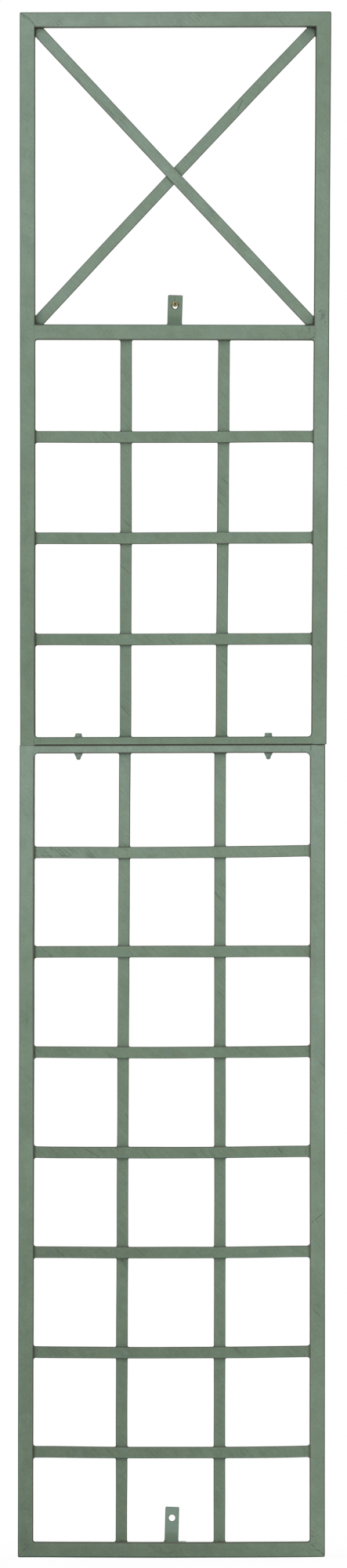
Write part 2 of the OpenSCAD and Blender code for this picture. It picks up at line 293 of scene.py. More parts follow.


# paint for one kind of bar; look says where its glaze and its painted light sit
def barPaint(name, look):
    material, wire, shader = newMaterial(name, Specular_IOR_Level=0.25)
    place = wire.place()
    x, y, z = place.split()
    along, across, depth = wire.attribute("bar", "Vector").split()
    halfWidth, halfDepth, ends = wire.attribute("reach", "Vector").split()
    inner = wire.attribute("inner", "Fac")
    soot = wire.attribute("soot", "Fac")
    colour = sageGroundAndLight(wire, place, look["lift"], look["patches"])

    def even(key, at=place):
        return at.grain(*paintGrain[key])

    def stretched(key, *axes):
        return even(key, wire.vector(*(axis * scale for axis, scale in zip(axes, paintStretch[key]))))

    # brush marks along the bar, cloudy and fine mottling and faint slanting sanding lines
    brush = stretched("brush", along, across, depth)
    mottle = even("mottle")
    cloud = even("cloud", wire.vector(x + 11, y, z))
    slant = (x + z) * halfRoot
    run = (x - z) * halfRoot
    hatch = stretched("hatch", slant, run, y)
    tint = (1 + brush.swing(look["brush"]) + mottle.swing(look["mottle"]) + hatch.swing(look["hatch"])
            + cloud.swing(look["cloud"]))
    colour = darken(wire, colour, tint)

    # deeper scratches in groups, filled with dark glaze
    lines = stretched("scratch", slant, run, y)
    groups = even("groups", wire.vector(x, y * 0.3, z + 5))
    scratch = lines.fade(*noiseReach["scratch"]) * groups.fade(look["groupFrom"], look["groupFrom"] + 0.16)
    colour = glazeAndShade(wire, colour, scratch * look["scratch"])

    # specks, and the few marks that stand out, one of them a painted shadow at the right end of the seam
    specks = even("specks", wire.vector(x, y, z + 2)).fade(*noiseReach["specks"])
    where = even("speckGroups", wire.vector(x + 7, y, z)).fade(*noiseReach["speckGroups"])
    wobble = even("wobble").swing(1.6 * mm)
    marks = x * 0
    for startX, startZ, endX, endZ, width, strength in look["marks"]:
        marks = marks.larger(strength * stroke(x + wobble, z + wobble, startX * mm, startZ * mm,
                                               endX * mm, endZ * mm, width * mm))
    front = (depth / halfDepth).fade(0.0, -0.6)
    whole = 0.5 + 0.5 * even("breakUp").fade(*noiseReach["breakUp"])
    wornAndShaded = specks * where * look["specks"] + marks * front * whole
    colour = glazeAndShade(wire, colour, wornAndShaded.clamp())

    # rubbed edges with painted shade on them: brown towards the middle of the frame, dark green away from it
    edge = (halfWidth - abs(across)) + (halfDepth - abs(depth))
    broken = stretched("broken", along, across, depth)
    inward = (across / halfWidth * inner).fade(-0.3, 0.3)
    # the band is broadest on the left, from the seam down
    broad = (inward * x.fade(0, -0.1) * z.fade(1.5 * seamZ, 0.9 * seamZ) * z.fade(0.3 * seamZ, 0.75 * seamZ)
             * look["rimLow"])
    reached = edge * (1 - broad) + broken.swing(look["rimBreak"])
    rim = reached.fade(look["rimOut"], look["rimIn"]) * ends.fade(-1 * mm, -0.2 * mm)
    brown = inward.larger(x.fade(halfClear + tubeSide / 2, halfClear + tubeSide))
    rimColour = wire.mix(brown, paintTone["greenRim"], paintTone["brownRim"])
    rimAmount = rim * (look["rimOuter"] + inward * (look["rimInner"] - look["rimOuter"]))
    # painted highlight: a paler line just inside the dark edge
    pale = reached.fade(look["rimOut"] * 1.9, look["rimOut"] * 1.25) * (1 - rim)
    colour = wire.mix(pale * glazeAndLightShare["pale"], colour, paintTone["pale"])
    colour = wire.mix((rimAmount * (0.15 + 1.6 * broken)).clamp(), colour, rimColour)

    # dark glaze where a bar ends in a weld, and painted shade where it runs in behind a tube
    patch = even("patch")
    joint = (ends + patch.swing(look["endBreak"])).fade(look["endOut"], look["endIn"])
    jointAmount = joint * look["endGlazeAndShade"]
    if "heap" in look:
        # painted shade: a brace is dark along the stile and the rail that shade it, and in the corner between them,
        # least at the lower left
        toStile, toRail = wire.attribute("nook", "Vector").split()[:2]
        line = (toStile.smaller(toRail) + patch.swing(1.6 * mm)).fade(*glazeAndLightReach["besideTube"])
        thin = 1 - 0.6 * z.fade(topZ - 10 * tubeSide, topZ - 12 * tubeSide) * x.fade(mm, -mm)
        heap = (toStile + toRail + patch.swing(8 * mm)).fade(look["heap"], look["heap"] * 0.4)
        jointAmount = (line * glazeAndLightShare["besideTube"] + heap * look["heapShade"]) * thin
    colour = glazeAndShade(wire, colour, (jointAmount + soot * (0.4 + patch)).clamp())
    if "seam" in look:
        # dark glaze and painted shade on the edges that the brace ends touch
        inX = halfClear - abs(x)
        inZ = (fieldTop - fieldFoot) / 2 - abs(z - (fieldTop + fieldFoot) / 2)
        touched = inX.larger(inZ).fade(*glazeAndLightReach["nearCorner"]) * inX.smaller(inZ).fade(*glazeAndLightReach["onTube"])
        colour = glazeAndShade(wire, colour, (touched * edge.fade(*glazeAndLightReach["onEdge"]) * (0.2 + patch)).clamp())
        # painted shade: teal line along the underside of the foot
        under = (z + broken.swing(mm)).fade(*glazeAndLightReach["foot"])
        colour = wire.mix(under * glazeAndLightShare["foot"], colour, paintTone["teal"])
        # painted shade in the joint between the panels, faint on the left stile
        strong = look["seam"] + (1 - look["seam"]) * x.fade(-halfClear, -halfClear + 2 * mm)
        line = abs(z - seamZ - x / halfClear * mm + patch.swing(mm)).fade(*glazeAndLightReach["seam"])
        colour = glazeAndShade(wire, colour, line * strong * glazeAndLightShare["seam"])
    if "tick" in look:
        # brown band and a dark broken tick near the right ends of the lower rows
        where = (x.fade(halfClear - 30 * mm, halfClear - 20 * mm) * z.fade(seamZ, seamZ - 40 * mm)
                 * even("tickRows", wire.vector(0.0, 0.0, z)).fade(*noiseReach["tickRows"]))
        band = ends.fade(*glazeAndLightReach["band"]) * where
        colour = wire.mix(band * glazeAndLightShare["band"], colour, paintTone["olive"])
        gap = abs(ends - look["tick"] - even("tick").swing(6 * mm))
        tick = gap.fade(*glazeAndLightReach["tick"]) * where * patch.fade(*noiseReach["tick"])
        colour = glazeAndShade(wire, colour, tick * glazeAndLightShare["tick"])
    if "foot" in look:
        # painted light on a lug: bluer at its head as light falls there, painted shade darker and greener at its
        # foot, and painted shade dark round its hole
        low = (along + patch.swing(3 * mm)).fade(look["foot"] + 2 * mm, look["foot"] - 3 * mm)
        colour = wire.mix(look["blue"], colour, paintTone["blue"])
        colour = wire.mix(low * glazeAndLightShare["lugFootShade"], colour, look["footShade"])
        above = along - look["holeAt"]
        ring = (across * across + above * above).root().fade(look["hole"] + glazeAndLightReach["hole"], look["hole"])
        colour = glazeAndShade(wire, colour, ring * glazeAndLightShare["hole"])

    colour.feed(shader, "Base Color")
    (0.52 + mottle.swing(0.25) + scratch * 0.15 + rimAmount * 0.1).feed(shader, "Roughness")
    height = brush * 0.5 + mottle * 0.5 + hatch * 0.2 - scratch * 0.6
    height.bump(shader, 0.35, 0.25 * mm)
    return material


# paint on welds and fasteners, dark where its attribute says: weld soot, and painted shade in the braced corners and
# on the nuts under the rail
def lumpPaint(name, look):
    material, wire, shader = newMaterial(name, Specular_IOR_Level=0.25)
    place = wire.place()
    soot = wire.attribute("soot", "Fac")
    mottle = place.grain(*paintGrain["lumpMottle"])
    patch = place.grain(*paintGrain["lumpPatch"])
    colour = sageGroundAndLight(wire, place, look["lift"])
    colour = darken(wire, colour, 1 + mottle.swing(0.25))
    dark = (soot * (look["sootShadeBase"] + look["sootShadePatch"] * patch)).clamp()
    glazeAndShade(wire, colour, dark).feed(shader, "Base Color")
    (0.5 + mottle.swing(0.3) + dark * 0.2).feed(shader, "Roughness")
    (mottle * 0.6 + patch).bump(shader, 0.4, 0.3 * mm)
    return material


# marks: start x and z, end x and z, width, strength, in mm on the front
tubeMarks = (
    (-199.8, 1999.6, -197.0, 1996.8, 1.2, 0.55), (-197.0, 1996.8, -194.6, 1995.0, 1.0, 0.55),
    (-194.6, 1995.0, -191.2, 1993.6, 1.0, 0.5), (-191.2, 1993.6, -188.7, 1990.4, 1.1, 0.6),
    (-188.7, 1990.4, -185.2, 1987.2, 1.0, 0.6), (-185.2, 1987.2, -182.7, 1984.5, 1.0, 0.6),
    (-182.7, 1984.5, -180.6, 1981.9, 1.0, 0.6), (-198.2, 1994.8, -195.8, 1993.6, 0.7, 0.5),
    (-195.8, 1993.6, -191.7, 1991.2, 0.7, 0.35),
    (-150.8, 1988.9, -146.8, 1984.3, 0.7, 0.5), (-152.5, 1984.6, -151.2, 1983.4, 0.8, 0.5),
    # the first mark on this line is a painted shadow at the right end of the seam
    (188.0, 1052.2, 196.5, 1051.8, 1.8, 0.5), (-20.0, 8.0, -8.0, 7.0, 3.0, 0.16), (-4.0, 6.0, 3.0, 8.0, 2.6, 0.2),
    (-27.5, 16.5, -20.5, 8.5, 1.3, 0.25), (-23.0, 15.5, -14.0, 5.5, 1.5, 0.22), (-16.0, 13.5, -9.5, 5.5, 1.6, 0.22),
    (3.0, 12.0, 7.0, 6.0, 1.3, 0.2), (12.5, 10.5, 14.5, 5.0, 1.1, 0.2),
    (185.4, 438.0, 193.5, 444.8, 0.8, 0.6), (185.4, 438.0, 189.0, 434.2, 0.7, 0.45),
    (188.2, 451.6, 188.4, 450.6, 0.9, 0.5), (182.2, 436.2, 182.0, 435.0, 1.0, 0.5),
    (188.2, 1613.6, 189.8, 1614.6, 1.3, 0.55), (191.2, 1610.0, 191.4, 1607.6, 1.4, 0.6),
    (193.6, 1613.6, 193.4, 1612.4, 1.2, 0.45), (194.6, 1609.2, 193.8, 1607.0, 1.3, 0.55),
    (190.4, 1604.2, 191.6, 1605.0, 1.3, 0.6), (195.6, 1600.2, 194.8, 1598.4, 1.2, 0.4),
    (-190.2, 17.6, -189.2, 16.8, 1.0, 0.5), (-186.6, 15.2, -188.2, 13.6, 1.0, 0.5),
    (-190.2, 11.4, -192.4, 9.2, 1.0, 0.5), (-197.6, 5.2, -196.4, 4.2, 1.0, 0.45),
    (181.6, 17.6, 185.0, 14.4, 0.7, 0.5), (190.6, 10.0, 196.4, 4.2, 0.7, 0.45),
    (181.0, 34.8, 182.6, 34.4, 1.2, 0.45), (182.2, 28.4, 183.0, 28.0, 1.3, 0.45),
    (181.6, 17.6, 184.0, 16.4, 1.0, 0.4), (187.2, 19.4, 188.2, 18.6, 1.1, 0.4),
    (186.8, 10.8, 190.8, 10.4, 1.1, 0.35), (196.2, 6.0, 198.0, 5.2, 1.5, 0.6),
    (-188.6, 34.0, -188.4, 31.0, 1.2, 0.3),
)
railMarks = (
    (-181.1, 1061.4, -181.0, 1052.4, 0.6, 0.5), (-172.4, 1060.6, -172.4, 1053.6, 0.5, 0.3),
    (179.4, 1054.4, 178.6, 1051.6, 1.2, 0.4), (178.4, 1051.4, 178.0, 1046.6, 1.3, 0.5),
    (160.7, 1589.0, 160.9, 1581.0, 1.6, 0.2), (165.0, 1590.0, 165.0, 1587.0, 1.4, 0.16),
    (174.8, 1592.4, 174.8, 1586.8, 1.1, 0.4), (181.0, 1585.0, 182.0, 1583.6, 1.0, 0.5),
    (165.0, 1043.9, 167.1, 1046.9, 0.6, 0.45), (177.4, 1578.4, 180.4, 1580.0, 1.6, 0.5),
    (172.6, 1576.6, 176.0, 1578.0, 1.2, 0.4), (-88.0, 1588.6, -84.0, 1584.0, 0.8, 0.3),
)
rowMarks = (
    (-114.0, 528.9, -95.6, 519.1, 0.9, 0.5), (-97.0, 529.6, -85.5, 524.2, 0.6, 0.4),
    (137.4, 529.9, 141.9, 523.7, 0.8, 0.6), (118.6, 528.1, 123.2, 522.5, 0.6, 0.35),
    (-153.4, 917.6, -142.6, 907.2, 1.0, 0.4), (-147.6, 916.6, -136.8, 907.2, 1.0, 0.45),
    (-166.8, 915.4, -160.0, 907.2, 0.9, 0.35), (-131.0, 918.0, -123.2, 911.6, 0.9, 0.3),
    (-158.6, 918.4, -156.4, 916.6, 1.4, 0.5), (-170.8, 911.4, -167.4, 907.4, 0.9, 0.35),
    (-170.0, 908.0, -164.0, 907.6, 1.4, 0.35), (-162.0, 908.0, -158.0, 907.4, 1.4, 0.4),
    (-144.0, 908.4, -136.5, 907.6, 1.5, 0.45),
)
braceMarks = ((81.4, 1873.8, 86.9, 1885.8, 1.1, 0.5),)
# paler or darker stretches: middle x and z, reach in x and z, change of tone
tubePatches = (
    (190, 1510, 40, 160, 0.17), (190, 985, 40, 110, 0.11), (190, 660, 40, 120, 0.09), (190, 350, 40, 110, -0.14),
    (-190, 660, 40, 120, -0.1), (90, 10, 130, 30, -0.13), (-190, 1900, 40, 110, -0.06), (-110, 1992, 150, 40, 0.1),
    (190, 1900, 40, 110, -0.08),
)
railPatches = ((-100, 1046, 140, 9, 0.3), (100, 1046, 140, 9, 0.14))
# rim is the rubbed edge with its painted shade, end the glaze at a weld and the painted shade where a bar runs
# behind a tube; lift makes the ground paler
plainLook = {
    "lift": 0.0, "patches": (), "brush": 0.16, "mottle": 0.36, "hatch": 0.2, "cloud": 0.52,
    "groupFrom": 0.58, "scratch": 0.35, "specks": 0.5,
    "rimOut": 2.0 * mm, "rimIn": 0.8 * mm, "rimBreak": 1.3 * mm, "rimOuter": 0.65, "rimInner": 0.9, "rimLow": 0.0,
    "endOut": 0.6 * mm, "endIn": 0.05 * mm, "endBreak": 1.8 * mm, "endGlazeAndShade": 0.12,
}
tubeLook = {**plainLook, "patches": tubePatches, "rimLow": 0.4, "seam": 0.35, "marks": tubeMarks}
railLook = {**plainLook, "patches": railPatches, "endGlazeAndShade": 0.05, "seam": 1.0, "marks": railMarks}
slatLook = {
    "lift": -0.05, "patches": ((0, 480, 600, 420, -0.15),), "brush": 0.12, "mottle": 0.36, "hatch": 0.32,
    "cloud": 0.46, "groupFrom": 0.5, "scratch": 0.36, "specks": 0.5,
    "rimOut": 1.5 * mm, "rimIn": 0.5 * mm, "rimBreak": 0.9 * mm, "rimOuter": 0.7, "rimInner": 0.8, "rimLow": 0.0,
    "endOut": 2.2 * mm, "endIn": 0.4 * mm, "endBreak": 3.0 * mm, "endGlazeAndShade": 0.55, "marks": (),
}
rowLook = {**slatLook, "patches": ((0, 480, 600, 420, -0.22),), "groupFrom": 0.47,
           "endOut": 2.4 * mm, "endGlazeAndShade": 0.45, "tick": 6.0 * mm, "marks": rowMarks}
braceLook = {**slatLook, "lift": 0.08, "patches": (), "heap": 9 * mm, "heapShade": 0.8, "marks": braceMarks}
# a lug's foot gets a painted shade tone, darker and greener
lugLook = {**plainLook, "scratch": 0.1, "rimOut": 1.6 * mm, "rimOuter": 0.5, "rimInner": 0.5,
           "endOut": 1.3 * mm, "endIn": 0.4 * mm, "endBreak": 0.8 * mm, "endGlazeAndShade": 0.4,
           "foot": 12 * mm, "footShade": shade(112, 131, 112), "blue": 0.0,
           "marks": ((0.9, 1633.6, 0.7, 1626.0, 1.0, 0.35),)}
tubePaint = barPaint("tubePaint", tubeLook)
railPaint = barPaint("railPaint", railLook)
slatPaint = barPaint("slatPaint", slatLook)
rowPaint = barPaint("rowPaint", rowLook)
bracePaint = barPaint("bracePaint", braceLook)
weldPaint = lumpPaint("weldPaint", {"lift": 0.0, "sootShadeBase": 0.45, "sootShadePatch": 1.0})
fastenerPaint = lumpPaint("fastenerPaint", {"lift": 0.42, "sootShadeBase": 0.4, "sootShadePatch": 0.9})
print("paint mixed")


# the hand-made panels are not quite square: sideways shift and widening at foot and head, and one tilt, in mm
squareLook = {"upper": ((-0.15, -1.6), (0.5, 1.9)), "lower": ((-0.3, -1.0), (-1.3, -2.1)),
              "tilt": 1.0, "levelFoot": 0.3, "levelMid": 0.2, "headRise": 0.9, "footRise": 1.5}
midZ = (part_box("upper_mid_rail")[0].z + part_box("upper_mid_rail")[1].z) / 2


# how far the tilt lifts a fastener that stands at x
def lifted(x):
    return squareLook["tilt"] * mm * x / (halfClear + tubeSide)


def settle(bm, panel):
    (shiftLow, wideLow), (shiftHigh, wideHigh) = squareLook[panel]
    base, height = (seamZ, topZ - seamZ) if panel == "upper" else (0, seamZ)
    for v in bm.verts:
        level = (v.co.z - base) / height
        side = v.co.x / (halfClear + tubeSide)
        wide = wideLow + (wideHigh - wideLow) * level
        v.co.x += (shiftLow + (shiftHigh - shiftLow) * level + wide * side) * mm
        # the mid rail lies level, and only the right of the foot rises
        low = min(1, max(0, v.co.z / squareLook["levelFoot"]))
        rise = lifted(v.co.x) * low * min(1, abs(v.co.z - midZ) / squareLook["levelMid"])
        rise += squareLook["footRise"] * mm * max(0, side) ** 2 * (1 - low)
        if panel == "upper":
            rise += squareLook["headRise"] * mm * level ** 4
        v.co.z += rise


def addObject(name, data):
    made = bpy.data.objects.new(name, data)
    scene.collection.objects.link(made)
    return made


def soften(bm, geom, size, steps, affect="EDGES"):
    bmesh.ops.bevel(bm, geom=geom, offset=size, affect=affect, segments=steps, profile=0.5, material=-1)


# faces extruded in place; gives the new geometry of one kind
def extrude(bm, faces, kind):
    made = bmesh.ops.extrude_face_region(bm, geom=faces)["geom"]
    return [g for g in made if isinstance(g, kind)]


# mesh to object, riding on its body and standing for its CAD nodes
def finishPiece(bm, name, nodes, material, body="frame"):
    if body == "frame":
        settle(bm, "lower" if name.startswith("lower") else "upper")
    mesh = bpy.data.meshes.new(name)
    for face in bm.faces:
        face.smooth = True
    for edge in bm.edges:
        edge.smooth = edge.calc_face_angle(0) < sharpAngle
    bm.to_mesh(mesh)
    bm.free()
    mesh.materials.append(material)
    piece = addObject(name, mesh)
    flat = piece.modifiers.new("flatFaces", "WEIGHTED_NORMAL")
    flat.keep_sharp = True
    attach(piece, body)
    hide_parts(*nodes)


# Bars

# the way a hand-made bar wanders off its centre line
def sway(along, seed, bend):
    half = bend["half"]
    rest = 1 - (along / half) ** 2
    wander = noise.noise(Vector((along * 9, seed * 3.7, 1.3))) * bend["wander"]
    return bend["sag"] * rest - bend["tilt"] * along / half + wander * min(1, 4 * rest)


# along is the bar's direction; its depth is always towards the wall, so across points right or down
def barPlace(centre, along):
    turn = Matrix((along, toWall.cross(along), toWall)).transposed().to_4x4()
    return Matrix.Translation(centre) @ turn


# ends holds the two end planes in the bar's own axes: x along, y across, z depth
def makeBar(name, material, centre, along, size, form, ends=None, bend=None, seed=0, inner=0, hidden=0):
    length, width, depth = size
    bm = bmesh.new()
    bmesh.ops.create_cube(bm, size=1)
    bmesh.ops.scale(bm, vec=size, verts=bm.verts)

    def longEdges():
        return [e for e in bm.edges if abs(e.verts[0].co.x - e.verts[1].co.x) > length / 2]
    soften(bm, longEdges(), form["corner"], form["cornerSteps"])
    bmesh.ops.subdivide_edges(bm, edges=longEdges(), cuts=max(3, round(length / form["step"])),
                              use_grid_fill=True)
    ends = ends or [(Vector((s * length / 2, 0, 0)), Vector((s, 0, 0))) for s in (-1, 1)]
    slanted = [(p, n) for p, n in ends if abs(n.y) > 0.1]

    def cutAt(point, normal, clear):
        return bmesh.ops.bisect_plane(bm, geom=bm.verts[:] + bm.edges[:] + bm.faces[:], dist=tiny, plane_co=point,
                                      plane_no=normal, clear_outer=clear)["geom_cut"]
    for point, normal in slanted:
        rim = [g for g in cutAt(point, normal, True) if isinstance(g, bmesh.types.BMEdge)]
        bmesh.ops.contextual_create(bm, geom=rim)
    for point, normal in ends:
        for part in form["tipCuts"]:
            cutAt(point - Vector((math.copysign(part * cornerRound, point.x), 0, 0)), toRight, False)
    rims = [e for e in bm.edges if e.calc_face_angle(0) > 0.7
            and not any(abs((v.co - p).dot(n)) < tiny for v in e.verts for p, n in slanted)]
    soften(bm, rims, form["endSoft"], 2)
    barLayer = bm.verts.layers.float_vector.new("bar")
    reachLayer = bm.verts.layers.float_vector.new("reach")
    innerLayer = bm.verts.layers.float.new("inner")
    nookLayer = bm.verts.layers.float_vector.new("nook")
    for v in bm.verts:
        v[barLayer] = v.co
        gaps = [(p - v.co).dot(n) for p, n in ends]
        v[reachLayer] = width / 2, depth / 2, min(gaps) - hidden
        v[nookLayer] = min(gaps[0::2]), min(gaps[1::2]), 0
        v[innerLayer] = inner
    bend = bend or {"half": length / 2, "sag": 0, "tilt": 0, "wander": form["wander"]}
    for v in bm.verts:
        v.co.y *= 1 + noise.noise(Vector((v.co.x * 14, seed * 5.1, 7.7))) * form["swell"]
        v.co.y += sway(v.co.x, seed, bend)
    bmesh.ops.transform(bm, matrix=barPlace(centre, along), verts=bm.verts)
    if form["tipCuts"]:
        for v in bm.verts:
            roundOff(v, name.startswith("upper"))
    finishPiece(bm, name + "_bar", [name], material)


# the four outer corners of the frame are rounded, and the two at the right of the seam
cornerRound = 2.2 * mm


def roundOff(v, above):
    inwards = -1 if above else 1
    ends = [(topZ - v.co.z if above else v.co.z, inwards, cornerRound)]
    if v.co.x > 0:
        ends.append((abs(v.co.z - seamZ), -inwards, tubeForm["corner"]))
    for toEnd, sign, radius in ends:
        fromSide = radius - (halfClear + tubeSide - abs(v.co.x))
        fromEnd = radius - toEnd
        reach = math.hypot(fromSide, fromEnd)
        if fromSide > 0 and fromEnd > 0 and reach > radius:
            back = 1 - radius / reach
            v.co.x -= math.copysign(fromSide * back, v.co.x)
            v.co.z += sign * fromEnd * back


tubeForm = {"corner": 1.4 * mm, "cornerSteps": 4, "step": 12 * mm, "endSoft": 0.3 * mm,
            "wander": 0.2 * mm, "swell": 0.01, "tipCuts": (0.15, 0.35, 0.65, 1.0)}
slatForm = {"corner": 0.7 * mm, "cornerSteps": 3, "step": 8 * mm, "endSoft": 0.3 * mm,
            "wander": 0.35 * mm, "swell": 0.025, "tipCuts": ()}


def boxOf(node):
    low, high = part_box(node)
    return (low + high) / 2, high - low


# stiles are mitred where they meet the top or the bottom rail
for panel, mitreEnd in (("upper", 1), ("lower", -1)):
    for side, inward in (("left", 1), ("right", -1)):
        node = f"{panel}_{side}_stile"
        centre, size = boxOf(node)
        half = size.z / 2
        mitre = (Vector((mitreEnd * half, -inward * tubeSide / 2, 0)),
                 Vector((mitreEnd * halfRoot, inward * halfRoot, 0)))
        square = (Vector((-mitreEnd * half, 0, 0)), Vector((-mitreEnd, 0, 0)))
        makeBar(node, tubePaint, centre, up, (size.z, size.x, size.y), tubeForm,
                [mitre, square], seed=len(node) + inward, inner=inward)
for node, outward in (("upper_top_rail", -1), ("lower_bottom_rail", 1)):
    centre, size = boxOf(node)
    ends = [(Vector((s * size.x / 2, outward * tubeSide / 2, 0)),
             Vector((s * halfRoot, -outward * halfRoot, 0))) for s in (-1, 1)]
    makeBar(node, tubePaint, centre, toRight, (size.x, size.z, size.y), tubeForm,
            ends, seed=outward, inner=-outward)

# rails run a little into the stiles, where the weld is ground flush; the seam rails close up at the seam
flushLook = {"run": 3 * mm, "proud": 0.08 * mm, "lap": 2.0 * mm, "edge": 1.4 * mm, "slatRun": 1 * mm}
railForm = {**tubeForm, "wander": 0, "swell": 0}
seamForm = {**railForm, "corner": 0.9 * mm}
for node, form in (("upper_mid_rail", railForm), ("upper_seam_rail", seamForm), ("lower_seam_rail", seamForm)):
    low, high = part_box(node)
    if node == "upper_seam_rail":
        low = Vector((low.x, low.y, seamZ))
    if node == "lower_seam_rail":
        high = Vector((high.x, high.y, seamZ))
    centre, size = (low + high) / 2, high - low
    makeBar(node, railPaint, centre, toRight,
            (size.x + 2 * flushLook["run"], size.z, size.y + flushLook["proud"]), form,
            seed=size.z * 900, inner=1, hidden=flushLook["run"])

# in mm: sag of each panel's rows; rows of their own sag and tilt; slats that lean: shift, bow and lean
rowSag = {"upper": 0.3, "lower": 1.2}
rowOwn = {"lower_row_6": (-0.2, 0), "lower_row_7": (1.2, 0.6)}
slatOwn = {"lower_left_slat": (-1.2, -0.5, -1.5), "upper_right_slat": (1.0, 0.0, -0.7)}
rowNodes = [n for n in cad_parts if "_row_" in n]
slatNodes = [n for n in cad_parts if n.endswith("_slat")]


def curve(half, sag, tilt=0):
    return {"half": half, "sag": sag * mm, "tilt": tilt * mm, "wander": slatForm["wander"]}


def bendOf(node):
    return curve(halfClear, *rowOwn.get(node, (rowSag[node[:5]],)))


def rowHeight(node, x):
    centre = boxOf(node)[0]
    return centre.z - sway(x, centre.z * 10, bendOf(node))


def slatBend(node):
    shift, sag, lean = slatOwn.get(node, (0, 0, 0))
    return shift * mm, curve(boxOf(node)[1].z / 2, sag, lean)


def slatPlace(node, z):
    centre = boxOf(node)[0]
    shift, bend = slatBend(node)
    return centre.x + shift + sway(z - centre.z, centre.x * 50 + centre.z, bend)


run = flushLook["slatRun"]
for node in rowNodes:
    centre, size = boxOf(node)
    makeBar(node, rowPaint, centre, toRight, (size.x + 2 * run, size.z, size.y), slatForm,
            bend=bendOf(node), seed=centre.z * 10, inner=max(-1, min(1, (centre.z - topZ / 2) / 1.2)), hidden=run)
for node in slatNodes:
    centre, size = boxOf(node)
    shift, bend = slatBend(node)
    makeBar(node, slatPaint, centre + toRight * shift, up, (size.z + 2 * run, size.x, size.y), slatForm,
            bend=bend, seed=centre.x * 50 + centre.z, inner=-math.copysign(1, centre.x), hidden=run)

# braces fill the field between the top rail and the mid rail
braceAngle = math.atan2(fieldTop - fieldFoot, 2 * halfClear)
braceBox = {}
for node, drop, bow in (("brace_front", -1, 0.9), ("brace_rear", 1, -1.1)):
    centre, size = boxOf(node)
    braceBox[node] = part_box(node)
    direction = Vector((math.cos(braceAngle), 0, drop * math.sin(braceAngle)))
    sideways = toWall.cross(direction)
    diagonal = 2 * halfClear / math.cos(braceAngle)
    ends = []
    for s in (-1, 1):
        for face in (toRight * s, up * s * drop):
            ends.append((Vector((s * diagonal / 2, 0, 0)), Vector((face.dot(direction), face.dot(sideways), 0))))
    makeBar(node, bracePaint, centre, direction, (diagonal + slatWidth, slatWidth, size.y), slatForm,
            ends, curve(diagonal / 2, bow), seed=drop * 4, inner=1)
print("bars made")


# Welds

# fillets: leg, start from the front plane and end from the back plane in mm, and how dark each is;
# railLegs: rail, its edge, leg at the left and right in mm
weldLook = {
    "fillets": {"row": (3.0, 0.2, 0.6, 0.55), "cross": (1.8, -2.4, 2.6, 0.2), "slat": (2.6, 0.1, -0.1, 0.3),
                "lug": (2.6, -2.5, -0.3, 0.1), "brace": (3.2, 0.3, -0.3, 0.3)},
    "shortLeg": 0.6, "dark": {"bead": 0.35, "lugBead": 0.25, "splash": 0.1, "flush": 1.4},
    "arcSteps": 5, "lump": 0.2, "rings": ((0.0, 0.7), (0.12, 1.0), (0.88, 1.0), (1.0, 0.7)),
    "railLegs": (("upper_mid_rail", -1, 2.4, 1.8), ("upper_seam_rail", 1, 3.0, 4.4),
                 ("lower_seam_rail", -1, 3.6, 5.6), ("lower_bottom_rail", 1, 2.0, 2.0)),
    "crossBead": (slatWidth * 0.47, 0.9 * mm, 1.0 * mm), "lugBead": 1.3 * mm, "lugBeadDeep": 1.6 * mm,
    "splashAt": 14.5 * mm, "splash": (5.5 * mm, 2.6 * mm, 0.9 * mm),
}
quarterTurn = [k / weldLook["arcSteps"] * math.pi / 2 for k in range(weldLook["arcSteps"] + 1)]


# hollow fillet in the corner where two bars meet, from front to back; its legs run the way of the signs
def addFillet(bm, soot, kind, x, z, signX, signZ, front, back):
    leg, start, stop, dark = weldLook["fillets"][kind]
    legX, legZ = signX * leg * mm, signZ * leg * mm
    front, back = front + start * mm, back + stop * mm
    rings = weldLook["rings"]
    was = rings[0][1]
    outline = [bm.verts.new((x, front, z))]
    for turn in quarterTurn:
        outline.append(bm.verts.new((x + legX * was * (1 - math.sin(turn)), front,
                                     z + legZ * was * (1 - math.cos(turn)))))
    for v in outline:
        v[soot] = dark
    face = bm.faces.new(outline)
    for part, grow in rings[1:]:
        face = extrude(bm, [face], bmesh.types.BMFace)[0]
        spot = Vector((x * 900 + legX * 700, part * 3, z * 900 + legZ * 700))
        swell = grow * (1 + weldLook["lump"] * noise.noise(spot))
        for v in face.verts:
            v.co = (x + (v.co.x - x) * swell / was, front + (back - front) * part, z + (v.co.z - z) * swell / was)
        was = swell


# weld ground flush in the corner of two tubes: it laps over their edges and carries a dark edge of its own, rubbed
# edge and painted shade like the tubes' edges
def addFlushCorner(bm, soot, x, z, legX, legZ):
    lap, edge, proud = flushLook["lap"], flushLook["edge"], flushLook["proud"]
    signX, signZ = math.copysign(1, legX), math.copysign(1, legZ)
    arc, inset = [], []
    for turn in quarterTurn:
        s, c = math.sin(turn), math.cos(turn)
        place = Vector((x + legX * (1 - s), tubeFront - proud, z + legZ * (1 - c)))
        arc.append(bm.verts.new(place))
        inset.append(bm.verts.new(place - Vector((signX * s, 0, signZ * c)) * edge))
        arc[-1][soot] = weldLook["dark"]["flush"]
    covered = [bm.verts.new((px, tubeFront - proud, pz)) for px, pz in (
        (x - signX * lap, z + legZ), (x - signX * lap, z - signZ * lap), (x + legX, z - signZ * lap))]
    faces = [bm.faces.new(inset + covered)]
    for k in range(weldLook["arcSteps"]):
        faces.append(bm.faces.new((arc[k], arc[k + 1], inset[k + 1], inset[k])))
    for v in extrude(bm, faces, bmesh.types.BMVert):
        v.co.y = tubeBack + proud


